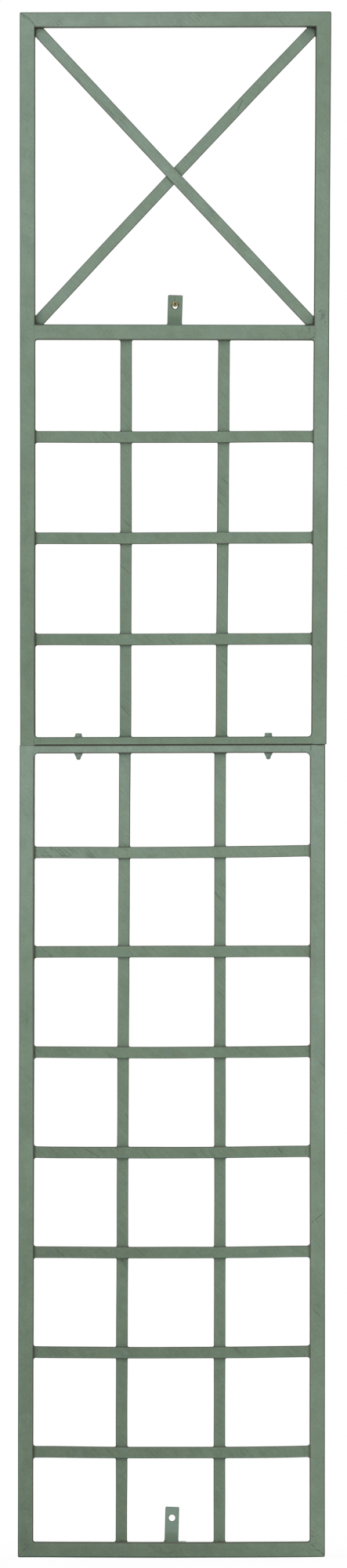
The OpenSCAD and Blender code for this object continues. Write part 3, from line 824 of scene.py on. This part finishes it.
# lump of weld metal, longest along its own x
def addBead(bm, soot, centre, radii, dark, turn=0.0):
    matrix = Matrix.Translation(centre) @ Matrix.Rotation(turn, 4, "Y") @ Matrix.Diagonal(radii).to_4x4()
    made = bmesh.ops.create_icosphere(bm, subdivisions=2, radius=1, matrix=matrix)["verts"]
    for v in made:
        reach = v.co - Vector(centre)
        v.co = Vector(centre) + reach * (1 + weldLook["lump"] * noise.noise(v.co * 420))
        v[soot] = dark


# each lug stands on the back of its rail and leans a little to the right
lugLean = math.radians(1.5)
# painted light: each lug's lift and blue sheen, paler and bluer as light falls on its head
lugToneAndSheen = {"upper": {"lift": -0.05}, "lower": {"lift": 0.58, "blue": 0.35}}
lugShape = {"width": {"upper": 19 * mm, "lower": 18 * mm}, "extra": {"upper": 0, "lower": 0.8 * mm},
            "foot": 6 * mm, "holeDrop": 13.5 * mm, "hole": 8.5 * mm, "holeShare": {"upper": 0.77, "lower": 1},
            "topRound": 1.5 * mm, "soft": 0.4 * mm, "holeShade": 0.9}


def lugBase(panel):
    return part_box("upper_mid_rail" if panel == "upper" else "lower_bottom_rail")[1].z


def makeWelds(panel):
    bm = bmesh.new()
    soot = bm.verts.layers.float.new("soot")
    rows = [n for n in rowNodes if n.startswith(panel)]
    slats = [n for n in slatNodes if n.startswith(panel)]
    halfSlat = slatWidth / 2
    rowBack = rowHigh.y

    def bead(kind, centre, radii, turn=0.0):
        addBead(bm, soot, centre, radii, weldLook["dark"][kind], turn)
    for node in rows:
        for side in (-1, 1):
            z = rowHeight(node, side * halfClear)
            for edge in (-1, 1):
                addFillet(bm, soot, "row", side * halfClear, z + edge * halfSlat, -side, edge, rowLow.y, rowBack)
        for slat in slats:
            x = slatPlace(slat, boxOf(node)[0].z)
            z = rowHeight(node, x)
            for edge in (-1, 1):
                bead("bead", (x, rowBack - 0.1 * mm, z + edge * (halfSlat + 0.2 * mm)), weldLook["crossBead"])
                for side in (-1, 1):
                    addFillet(bm, soot, "cross", x + side * halfSlat, z + edge * halfSlat, side, edge,
                              rowBack, rowBack)
    for slat in slats:
        low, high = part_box(slat)
        for end, z in ((1, low.z), (-1, high.z)):
            x = slatPlace(slat, z)
            for side in (-1, 1):
                addFillet(bm, soot, "slat", x + side * halfSlat, z, side, end, low.y, high.y)
    # tube corners along the rails
    for rail, end, *legs in weldLook["railLegs"]:
        if rail.startswith(panel):
            low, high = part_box(rail)
            for side, leg in zip((-1, 1), legs):
                addFlushCorner(bm, soot, side * halfClear, high.z if end > 0 else low.z,
                               -side * leg * mm, end * leg * mm)
    # lug: beads on the back of the rail, small fillets beside it on top
    base = lugBase(panel)
    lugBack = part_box(f"{panel}_lug")[1].y
    halfLug = lugShape["width"][panel] / 2
    foot = lugShape["foot"]
    thick, deep = weldLook["lugBead"], weldLook["lugBeadDeep"]
    for side in (-1, 1):
        bead("lugBead", (side * (halfLug + 0.3 * mm), tubeBack + 0.3 * mm, base - foot / 2),
             (thick, deep, foot * 0.6), lugLean)
        addFillet(bm, soot, "lug", side * halfLug, base - 0.2 * mm, side, 1, tubeBack, lugBack)
    bead("lugBead", (0, tubeBack + 0.3 * mm, base - foot - 0.2 * mm), (halfLug, deep, thick), lugLean)
    if panel == "lower":
        # weld splash on the bottom rail beside the lug
        bead("splash", (weldLook["splashAt"], tubeBack - 3.5 * mm, base), weldLook["splash"])
    if panel == "upper":
        addBraceWelds(bm, soot)
    bmesh.ops.recalc_face_normals(bm, faces=bm.faces)
    finishPiece(bm, f"{panel}_weld_beads", [f"{panel}_welds"], weldPaint)


# corners of the braced field: brace, side, end, how many beads of the arch, darkness of the lumps behind it, painted
# as the corner's shade; beads stand in mm from the stile and from the rail
braceCorners = (("brace_front", -1, 1, 6, 0.45), ("brace_rear", 1, 1, 4, 0.4),
                ("brace_rear", -1, -1, 0, 0.2), ("brace_front", 1, -1, 3, 0.35))
archBeads = ((1.5, 9.6), (2.1, 7.4), (3.2, 5.7), (4.5, 4.5), (6.3, 3.5), (8.5, 2.7), (11.0, 2.0))
cornerBeads = ((2.4, 2.2), (5.6, 1.6), (1.5, 4.8))


def addBraceWelds(bm, soot):
    for node, side, end, count, dark in braceCorners:
        low, high = braceBox[node]
        x = side * halfClear
        z = fieldTop if end > 0 else fieldFoot

        def spot(fromStile, fromRail, sink):
            return Vector((x - side * fromStile * mm, low.y + sink * mm, z - end * fromRail * mm))
        # pale run of weld across the brace, dark lumps behind it in the corner, painted dark as its shade
        for first, second in list(zip(archBeads, archBeads[1:]))[:count]:
            start, stop = spot(*first, 0.3), spot(*second, 0.3)
            run = stop - start
            jog = noise.noise(start * 700)
            addBead(bm, soot, (start + stop) / 2,
                    (run.length * 0.85, (0.6 + 0.2 * jog) * mm, (1.0 + 0.3 * jog) * mm),
                    0.1 + 0.2 * abs(jog), math.atan2(-run.z, run.x))
        for place in cornerBeads:
            jog = noise.noise(spot(*place, 0) * 900)
            size = (1.2 + 0.4 * jog) * mm
            addBead(bm, soot, spot(*place, 0.5), (size * 1.4, size * 0.6, size * 0.8), dark, side * end * 0.8)
        # acute corners beside the brace
        short = weldLook["shortLeg"]
        cut = slatWidth / 2 / math.sin(braceAngle)
        addFillet(bm, soot, "brace", x - side * cut, z, -side, -end * short, low.y, high.y)
        cut = slatWidth / 2 / math.cos(braceAngle)
        addFillet(bm, soot, "brace", x, z - end * cut, -side * short, -end, low.y, high.y)
    # where the front brace lies on the rear one
    centre = (braceBox["brace_front"][0] + braceBox["brace_front"][1]) / 2
    for edge in (-1, 1):
        across = Vector((math.sin(braceAngle), 0, math.cos(braceAngle))) * edge * slatWidth / 2
        place = Vector((centre.x - 1.4 * mm, 0, centre.z)) + across
        addBead(bm, soot, (place.x, -0.1 * mm, place.z), (slatWidth * 0.42, 1.0 * mm, 1.0 * mm),
                weldLook["dark"]["bead"], braceAngle)


for panel in ("upper", "lower"):
    makeWelds(panel)
print("welds laid")


# Lugs

def makeLug(panel):
    node = f"{panel}_lug"
    low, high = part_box(node)
    base = lugBase(panel)
    rise = (high.z - base) / math.cos(lugLean)
    thick = high.y - low.y
    foot = lugShape["foot"]
    width = lugShape["width"][panel]
    holeAt = Vector((0, rise - lugShape["holeDrop"], 0))
    top = rise + lugShape["extra"][panel]
    bm = bmesh.new()
    bmesh.ops.create_grid(bm, x_segments=1, y_segments=1, size=0.5)
    bmesh.ops.scale(bm, vec=(width, top + foot, 1), verts=bm.verts)
    bmesh.ops.translate(bm, vec=(0, (top - foot) / 2, 0), verts=bm.verts)
    soften(bm, [v for v in bm.verts if v.co.y > 0], lugShape["topRound"], 4, "VERTICES")
    hole = bmesh.ops.create_circle(bm, cap_ends=False, radius=lugShape["hole"] / 2, segments=36,
                                   matrix=Matrix.Translation(holeAt))["verts"]
    # the upper hole is made narrower at its sides
    share = lugShape["holeShare"][panel]
    bmesh.ops.scale(bm, vec=(share, 1, 1), verts=hole)
    bmesh.ops.delete(bm, geom=bm.faces[:], context="FACES_ONLY")
    bmesh.ops.triangle_fill(bm, use_beauty=True, use_dissolve=False, edges=bm.edges[:], normal=(0, 0, 1))
    bmesh.ops.translate(bm, vec=(0, 0, thick), verts=extrude(bm, bm.faces[:], bmesh.types.BMVert))
    bmesh.ops.translate(bm, vec=(0, 0, -thick / 2), verts=bm.verts)
    soften(bm, [e for e in bm.edges if e.calc_face_angle(0) > 0.9], lugShape["soft"], 2)
    barLayer = bm.verts.layers.float_vector.new("bar")
    reachLayer = bm.verts.layers.float_vector.new("reach")
    soot = bm.verts.layers.float.new("soot")
    for v in bm.verts:
        v[barLayer] = v.co.y, v.co.x, v.co.z
        v[reachLayer] = width / 2, thick / 2, top - v.co.y
        # painted shade on the rim of the hole
        fromHole = (Vector((v.co.x / share, v.co.y, 0)) - holeAt).length - lugShape["hole"] / 2
        v[soot] = lugShape["holeShade"] if fromHole < lugShape["soft"] * 0.7 else 0
    stand = Matrix((toRight, up, toWall)).transposed().to_4x4()
    place = Matrix.Translation((0, (low.y + high.y) / 2, base)) @ Matrix.Rotation(lugLean, 4, "Y") @ stand
    bmesh.ops.transform(bm, matrix=place, verts=bm.verts)
    bmesh.ops.recalc_face_normals(bm, faces=bm.faces)
    paint = barPaint(f"{panel}LugPaint", {**lugLook, **lugToneAndSheen[panel], "holeAt": holeAt.y,
                                          "hole": lugShape["hole"] / 2})
    finishPiece(bm, node + "_strip", [node], paint)


for panel in ("upper", "lower"):
    makeLug(panel)
print("lugs made")


# Fasteners

# points this close are one
sameSpot = 0.002 * mm


# ridge wound round a core along z, from start
def addThread(bm, core, crest, pitch, width, start, turns, steps):
    ridge = [bm.verts.new((r, 0, start + h)) for r, h in ((core, 0), (crest, width / 2), (core, width))]
    edges = [bm.edges.new(pair) for pair in zip(ridge, ridge[1:])]
    bmesh.ops.spin(bm, geom=ridge + edges, cent=(0, 0, 0), axis=(0, 0, 1), dvec=(0, 0, pitch / steps),
                   angle=2 * math.pi * turns, steps=steps * turns, use_merge=False, use_duplicate=False)


# closed shell turned round z from a line of (radius, height)
def addTurned(bm, line, steps, closed=False):
    made = [bm.verts.new((r, 0, h)) for r, h in line]
    pairs = list(zip(made, made[1:])) + ([(made[-1], made[0])] if closed else [])
    edges = [bm.edges.new(pair) for pair in pairs]
    bmesh.ops.spin(bm, geom=made + edges, cent=(0, 0, 0), axis=(0, 0, 1), angle=2 * math.pi, steps=steps,
                   use_merge=True, use_duplicate=False)


# bolt or nut, made on its own axis, to its place at the seam
def finishFastener(bm, kind, side):
    node = f"{kind}_{side}"
    low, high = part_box(node)
    x = (low.x + high.x) / 2
    bmesh.ops.translate(bm, vec=(x, 0, lifted(x)), verts=bm.verts)
    bmesh.ops.recalc_face_normals(bm, faces=bm.faces)
    finishPiece(bm, node + "_painted", [node], fastenerPaint, f"{side}_{kind}")


# head: radius at its foot and its top; collar: radius and height in mm; tip: share of crest and height in mm
boltLook = {
    "head": {"left": (5.3 * mm, 4.3 * mm), "right": (5.2 * mm, 5.0 * mm)}, "extra": 0.9 * mm, "soft": 1.2 * mm,
    "collar": ((6.2, 0.0), (5.6, 0.2), (5.0, 0.8)), "shank": 2.47 * mm, "shankEnd": 3.6 * mm,
    "tip": ((1.0, 3.5), (1.0, 2.4), (0.93, 1.6), (0.78, 0.8), (0.55, 0.3), (0.3, 0.08)),
    "core": 2.45 * mm, "crest": 2.95 * mm, "pitch": 1.0 * mm, "threadFrom": 2.2 * mm, "threadShort": 4 * mm,
    "steps": 18, "turnedSteps": 24, "dark": {"seat": 0.85, "head": 0.1, "tip": 0.6, "shank": 0.3},
}


def makeBolt(side):
    look = boltLook
    low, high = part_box(f"bolt_{side}")
    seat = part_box("upper_seam_rail")[1].z
    tip, top = low.z, high.z + look["extra"]
    bm = bmesh.new()
    soot = bm.verts.layers.float.new("soot")
    footRadius, topRadius = look["head"][side]
    bmesh.ops.create_cone(bm, cap_ends=True, segments=6, radius1=footRadius, radius2=topRadius, depth=top - seat,
                          matrix=Matrix.Translation((0, 0, (top + seat) / 2)) @ Matrix.Rotation(math.pi / 6, 4, "Z"))
    soften(bm, bm.edges[:], look["soft"], 3)
    # ring of paint where the head sits on the rail
    collar = [(r * mm, seat + h * mm) for r, h in look["collar"]]
    addTurned(bm, [(0, seat), *collar, (0, collar[-1][1])], look["turnedSteps"])
    crest, pitch = look["crest"], look["pitch"]
    addTurned(bm, [(0, seat), (look["shank"], seat), (look["shank"], tip + look["shankEnd"]),
                   *((crest * share, tip + h * mm) for share, h in look["tip"]), (0, tip)], look["turnedSteps"])
    turns = int((seat - tip - look["threadShort"]) / pitch)
    addThread(bm, look["core"], crest, pitch, pitch, tip + look["threadFrom"], turns, look["steps"])
    bmesh.ops.remove_doubles(bm, verts=bm.verts, dist=sameSpot)
    for v in bm.verts:
        if v.co.z > seat - 0.1 * mm:
            v[soot] = look["dark"]["seat" if v.co.z < seat + 0.4 * mm else "head"]
        else:
            v[soot] = look["dark"]["tip" if v.co.z < tip + 0.6 * mm else "shank"]
    finishFastener(bm, "bolt", side)


# line of the nut's section: radius and drop below the rail, in mm
nutLook = {"section": ((3.05, 0.0), (5.9, 0.0), (5.4, 0.35), (4.95, 1.0), (4.45, 2.2), (4.0, 3.3), (3.6, 4.2),
                       (3.3, 4.7), (3.05, 5.0)),
           "steps": 36, "facets": 0.5, "meanFlat": 0.93, "dark": {"seat": 0.9, "side": 0.1}}


def makeNut(side):
    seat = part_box(f"nut_{side}")[1].z
    bm = bmesh.new()
    soot = bm.verts.layers.float.new("soot")
    addTurned(bm, [(r * mm, seat - drop * mm) for r, drop in nutLook["section"]], nutLook["steps"], closed=True)
    bmesh.ops.remove_doubles(bm, verts=bm.verts, dist=sameSpot)
    bore = nutLook["section"][0][0] * mm
    for v in bm.verts:
        angle = math.atan2(v.co.y, v.co.x) % (math.pi / 3) - math.pi / 6
        flat = math.cos(math.pi / 6) / math.cos(angle)
        radius = math.hypot(v.co.x, v.co.y)
        if radius > bore + 0.1 * mm:
            pull = 1 + (flat - nutLook["meanFlat"]) * nutLook["facets"]
            v.co.x *= pull
            v.co.y *= pull
        # painted shade on the nut's top, under the rail
        v[soot] = nutLook["dark"]["seat" if v.co.z > seat - 0.5 * mm else "side"]
    finishFastener(bm, "nut", side)


for side in ("left", "right"):
    makeBolt(side)
    makeNut(side)

# wall screw, turned along its own z from the front of the head; radii and depths in mm
screwLook = {"head": ((2.95, 0.02), (3.3, 0.3), (3.55, 0.9), (3.6, 1.7), (3.5, 2.4)),
             "neck": 2.2, "neckEnd": 5.9, "core": 1.45, "crest": 2.0, "pitch": 1.8, "ridge": 1.1,
             "taper": 5.0, "recess": 2.05, "slotHalf": 0.45, "recessDepth": 0.7, "steps": 24}


def makeScrew():
    low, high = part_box("wall_screw")
    length = (high.y - low.y) / mm
    look = screwLook
    bm = bmesh.new()
    line = list(look["head"]) + [(look["neck"], look["head"][-1][1]), (look["neck"], look["neckEnd"]),
                                 (look["core"] + 0.05, look["neckEnd"] + 0.4),
                                 (look["core"] + 0.05, length - look["taper"]), (0, length)]
    addTurned(bm, [(r * mm, h * mm) for r, h in line], look["steps"])
    bmesh.ops.remove_doubles(bm, verts=bm.verts, dist=sameSpot)
    rimLoop = [e for e in bm.edges if e.is_boundary]
    # cross recess from a plate of nine cells, let into the head
    plate = bmesh.ops.create_grid(bm, x_segments=3, y_segments=3, size=look["recess"] * mm)["verts"]
    for v in plate:
        for axis in (0, 1):
            if abs(v.co[axis]) < look["recess"] * mm * 0.9:
                v.co[axis] = math.copysign(look["slotHalf"] * mm, v.co[axis])
    cells = list({f for v in plate for f in v.link_faces})
    outline = [e for e in {e for v in plate for e in v.link_edges} if e.is_boundary]
    cross = [f for f in cells if min(abs(f.calc_center_median().x), abs(f.calc_center_median().y)) < 0.1 * mm]
    sunk = extrude(bm, cross, bmesh.types.BMVert)
    bmesh.ops.scale(bm, vec=(0.75, 0.75, 1), verts=sunk)
    bmesh.ops.translate(bm, vec=(0, 0, look["recessDepth"] * mm), verts=sunk)
    bmesh.ops.bridge_loops(bm, edges=rimLoop + outline)
    turns = int((length - look["neckEnd"] - 1) / look["pitch"])
    threadStart = (look["neckEnd"] + 0.3) * mm
    addThread(bm, look["core"] * mm, look["crest"] * mm, look["pitch"] * mm, look["ridge"] * mm, threadStart, turns,
              look["steps"])
    for v in bm.verts:
        left = (length * mm - v.co.z) / (look["taper"] * mm)
        if left < 1 and math.hypot(v.co.x, v.co.y) > look["core"] * mm * 0.5:
            v.co.x *= max(left, 0.02)
            v.co.y *= max(left, 0.02)
    stand = Matrix.Translation(((low.x + high.x) / 2, low.y, (low.z + high.z) / 2))
    turn = Matrix.Rotation(-math.pi / 2, 4, "X") @ Matrix.Rotation(math.pi / 4, 4, "Z")
    bmesh.ops.transform(bm, matrix=stand @ turn, verts=bm.verts)
    bmesh.ops.recalc_face_normals(bm, faces=bm.faces)
    material, wire, shader = newMaterial("screwBrass", Metallic=0.8)
    place = wire.place()
    grime = place.grain(700, 3, 0.65)
    colour = wire.mix(grime.fade(0.4, 0.72), shade(168, 152, 108), shade(112, 96, 62))
    colour.feed(shader, "Base Color")
    (0.38 + grime * 0.25).feed(shader, "Roughness")
    grime.bump(shader, 0.2, 0.1 * mm)
    finishPiece(bm, "wall_screw_brass", ["wall_screw"], material)


makeScrew()
print("fasteners made")


# Stage

cameraLook = {"distance": 20.0, "pixel": 1.01464 * mm, "width": 443, "height": 2000,
              "footRow": 1987, "centreColumn": 221.3, "lean": -0.13, "sensor": 36, "clipEnd": 200}
seenHeight = cameraLook["pixel"] * cameraLook["height"]
camera = bpy.data.cameras.new("camera")
camera.sensor_fit = "VERTICAL"
camera.sensor_height = cameraLook["sensor"]
camera.lens = cameraLook["sensor"] * (cameraLook["distance"] + cadBox[0].y) / seenHeight
camera.clip_end = cameraLook["clipEnd"]
eye = addObject("camera", camera)
eye.location = ((cameraLook["width"] / 2 - cameraLook["centreColumn"]) * cameraLook["pixel"],
                -cameraLook["distance"],
                (cameraLook["footRow"] - cameraLook["height"] / 2) * cameraLook["pixel"])
eye.rotation_euler = (math.radians(90), math.radians(cameraLook["lean"]), 0)
scene.camera = eye

# white for the eye and for reflections, softer as light
skyLook = {"white": 1.0, "light": 0.55}
world = bpy.data.worlds.new("studio")
scene.world = world
world.use_nodes = True
sky = Wire(world.node_tree)


def seenRays(wire):
    rays = wire.node("ShaderNodeLightPath").socket.node.outputs
    return (Wire(wire.tree, rays["Is Camera Ray"]) + Wire(wire.tree, rays["Is Glossy Ray"])
            + Wire(wire.tree, rays["Is Transmission Ray"])).clamp()


strength = skyLook["light"] + seenRays(sky) * (skyLook["white"] - skyLook["light"])
background = world.node_tree.nodes["Background"]
background.inputs["Color"].default_value = (1, 1, 1, 1)
strength.feed(background, "Strength")

# floor under the foot, fading into the white
floorLook = {"size": 5.0, "fadeFrom": 0.12, "fadeTo": 0.7, "cover": 0.93, "drop": 0.2 * mm}
bm = bmesh.new()
bmesh.ops.create_grid(bm, x_segments=2, y_segments=2, size=floorLook["size"])
bmesh.ops.translate(bm, vec=(0, 0, cadBox[0].z - floorLook["drop"]), verts=bm.verts)
mesh = bpy.data.meshes.new("floor")
bm.to_mesh(mesh)
bm.free()
floor = addObject("floor", mesh)
material, wire, shader = newMaterial("floorWhite")
wire.tree.nodes.remove(shader)
x, y = wire.place().split()[:2]
far = (x * x + y * y).root().fade(floorLook["fadeFrom"], floorLook["fadeTo"])
matte = wire.node("ShaderNodeBsdfDiffuse", None, {"Color": (0.9, 0.9, 0.9, 1)})
glow = wire.node("ShaderNodeEmission", None, {"Color": (1, 1, 1, 1), "Strength": 1.0})
cover = seenRays(wire) * (floorLook["cover"] + far * (1 - floorLook["cover"]))
ground = wire.node("ShaderNodeMixShader", None, {0: cover, 1: matte, 2: glow})
ground.feed(wire.tree.nodes["Material Output"], "Surface")
mesh.materials.append(material)

# broad even light from the upper left, and a weaker one from behind
lampAway = 6
lamps = {
    "key": {"from": (-0.5, -0.8, 0.55), "angle": 50, "power": 1.2},
    "back": {"from": (0.5, 0.8, 0.6), "angle": 50, "power": 0.9},
}
for name, lamp in lamps.items():
    light = bpy.data.lights.new(name, "SUN")
    light.angle = math.radians(lamp["angle"])
    light.energy = lamp["power"]
    lampObject = addObject(name, light)
    lampObject.location = Vector(lamp["from"]) * lampAway
    lampObject.rotation_euler = (-Vector(lamp["from"])).to_track_quat("-Z", "Y").to_euler()
print("stage set")
